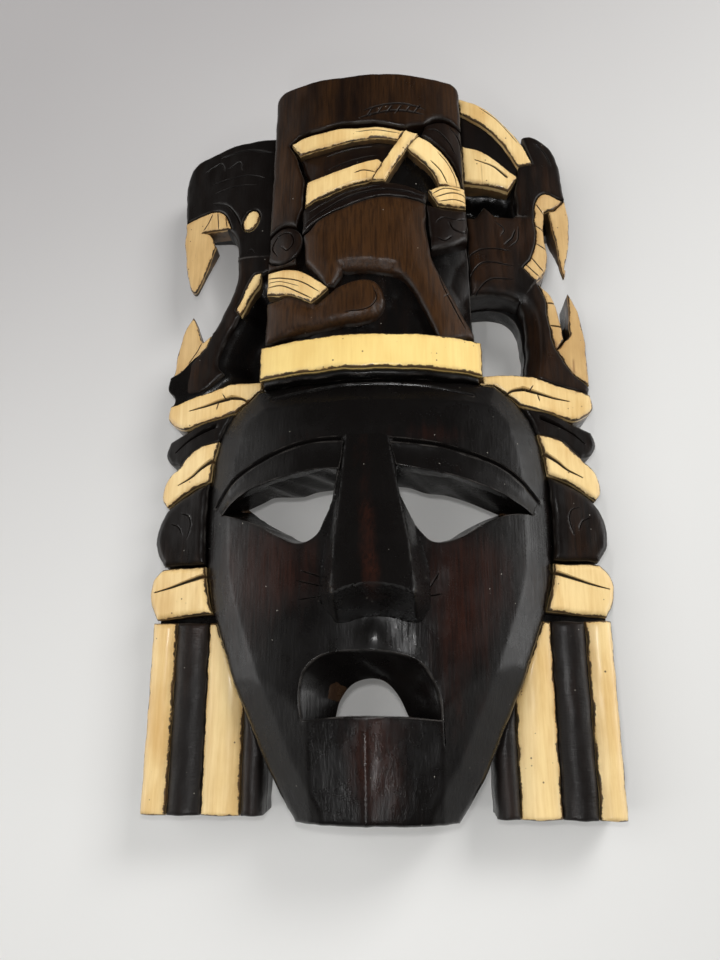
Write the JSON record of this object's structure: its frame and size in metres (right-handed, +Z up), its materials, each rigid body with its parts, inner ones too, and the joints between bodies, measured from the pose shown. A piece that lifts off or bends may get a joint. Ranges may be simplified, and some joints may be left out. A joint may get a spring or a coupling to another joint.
{
  "type": "wall mask",
  "caption": "Carved wooden wall mask: long face, ear ornaments and lappets, relief tablet above, open serpent jaws at the sides, ring hanger in the back.",
  "frame": {"origin": "the inside of the hanging ring's top, on the plane of the wall, where the wall hook bears", "axes": "+Z up as hung, +Y into the wall (the mask's front faces -Y), +X to the viewer's right"},
  "size_m": [0.2262, 0.084, 0.379],
  "materials": {
    "dark_wood": "dark stain under a thin glossy wax, grain showing, paler on worn edges",
    "pale_wood": "cream bare wood under clear varnish, edged with dark stain",
    "steel": "plain zinc-plated steel"
  },
  "bodies": {
    "mask": {"face_shell": "dark_wood", "nose": "dark_wood", "left_brow": "dark_wood", "right_brow": "dark_wood", "forehead_moulding": "dark_wood", "tablet_block": "dark_wood", "tablet_base_band": "pale_wood", "tablet_border": "dark_wood", "tablet_hair_panel": "dark_wood", "headband_upper": "pale_wood", "headband_lower": "pale_wood", "headband_tie": "pale_wood", "mane_band": "pale_wood", "collar": "pale_wood", "figure_ear": "dark_wood", "figure_muzzle": "dark_wood", "figure_back_ridge": "dark_wood", "figure_body": "dark_wood", "figure_haunch": "dark_wood", "anklet": "pale_wood", "tail_curl": "dark_wood", "left_wing_board": "dark_wood", "left_serpent_head": "dark_wood", "left_serpent_jaw": "dark_wood", "left_upper_fang": "pale_wood", "left_lower_fang": "pale_wood", "left_serpent_eye": "pale_wood", "left_cheek_mark": "pale_wood", "right_wing_board": "dark_wood", "right_crest_upper": "pale_wood", "right_crest_channel": "dark_wood", "right_crest_lower": "pale_wood", "right_serpent_head": "dark_wood", "right_serpent_neck": "dark_wood", "right_serpent_jaw": "dark_wood", "right_upper_fang": "pale_wood", "right_upper_gum": "pale_wood", "right_lower_fang": "pale_wood", "right_lower_gum": "pale_wood", "left_scroll": "pale_wood", "left_leaf_dark": "dark_wood", "left_leaf_pale": "pale_wood", "left_ear_disc": "dark_wood", "left_ear_cuff": "pale_wood", "right_scroll": "pale_wood", "right_leaf_dark": "dark_wood", "right_leaf_pale": "pale_wood", "right_ear_disc": "dark_wood", "right_ear_cuff": "pale_wood", "left_lappet_1": "dark_wood", "left_lappet_2": "pale_wood", "left_lappet_3": "dark_wood", "left_lappet_4": "pale_wood", "right_lappet_1": "dark_wood", "right_lappet_2": "pale_wood", "right_lappet_3": "dark_wood", "right_lappet_4": "pale_wood", "hanger_strap": "steel", "hanger_screw": "steel"},
    "ring": {"hanger_ring": "steel"}
  },
  "joints": [
    {"name": "ring_swing", "type": "hinge", "parent": "mask", "child": "ring", "pos_m": [0, -0.00655, -0.0138], "axis": [-1, 0, 0], "range_deg": [0, 150]}
  ]
}
